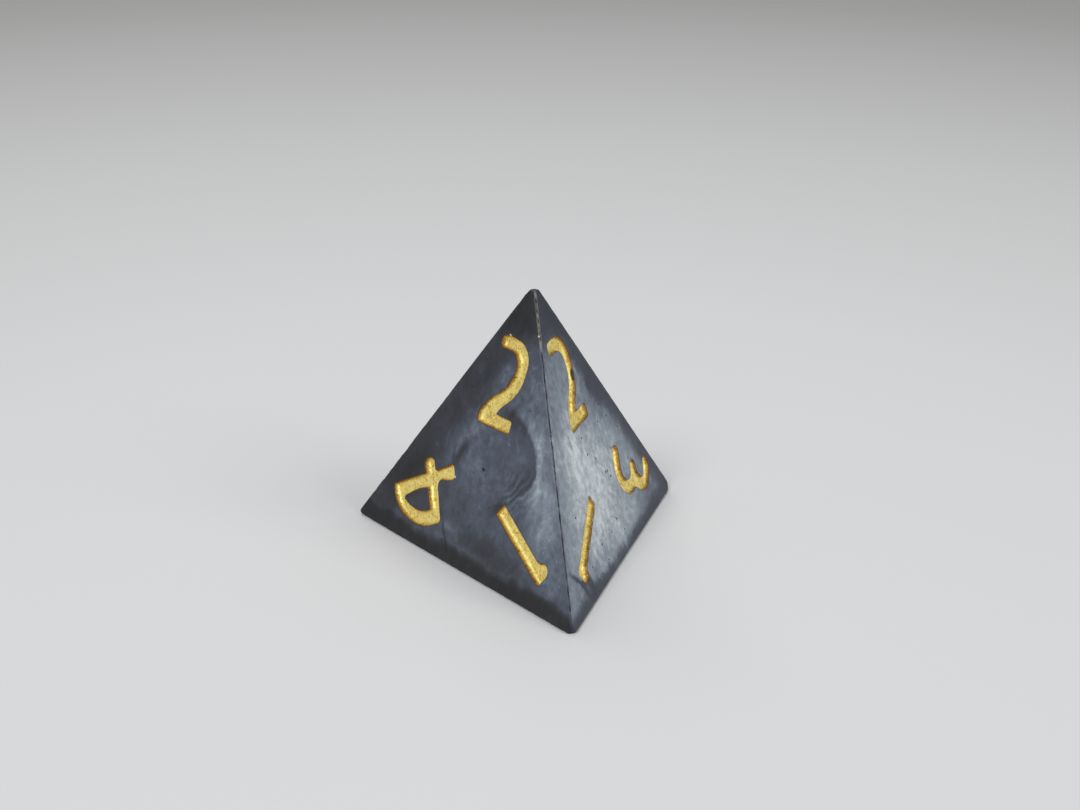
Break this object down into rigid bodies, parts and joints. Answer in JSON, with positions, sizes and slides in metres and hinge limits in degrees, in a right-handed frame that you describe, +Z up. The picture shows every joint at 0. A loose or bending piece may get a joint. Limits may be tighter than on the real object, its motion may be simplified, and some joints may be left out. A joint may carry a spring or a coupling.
{
  "type": "four-sided die",
  "caption": "Tetrahedral tabletop die of swirled dark and pearl resin with sunken gold-painted numerals; the number standing upright at the top corner is the roll.",
  "frame": {"origin": "middle of the face that the die rests on", "axes": "+Z up from the resting face through the top corner; the front corner of the resting face lies towards -Y, and +X is to the right of that corner as it faces you"},
  "size_m": [0.0193, 0.0168, 0.0157],
  "materials": {
    "resin": "satin",
    "gold_paint": "satin metallic"
  },
  "bodies": {
    "root": {"die_body": "resin", "paint_1_front_left": "gold_paint", "paint_2_front_left": "gold_paint", "paint_4_front_left": "gold_paint", "paint_1_front_right": "gold_paint", "paint_2_front_right": "gold_paint", "paint_3_front_right": "gold_paint", "paint_2_back": "gold_paint", "paint_3_back": "gold_paint", "paint_4_back": "gold_paint", "paint_1_base": "gold_paint", "paint_3_base": "gold_paint", "paint_4_base": "gold_paint"}
  },
  "joints": []
}
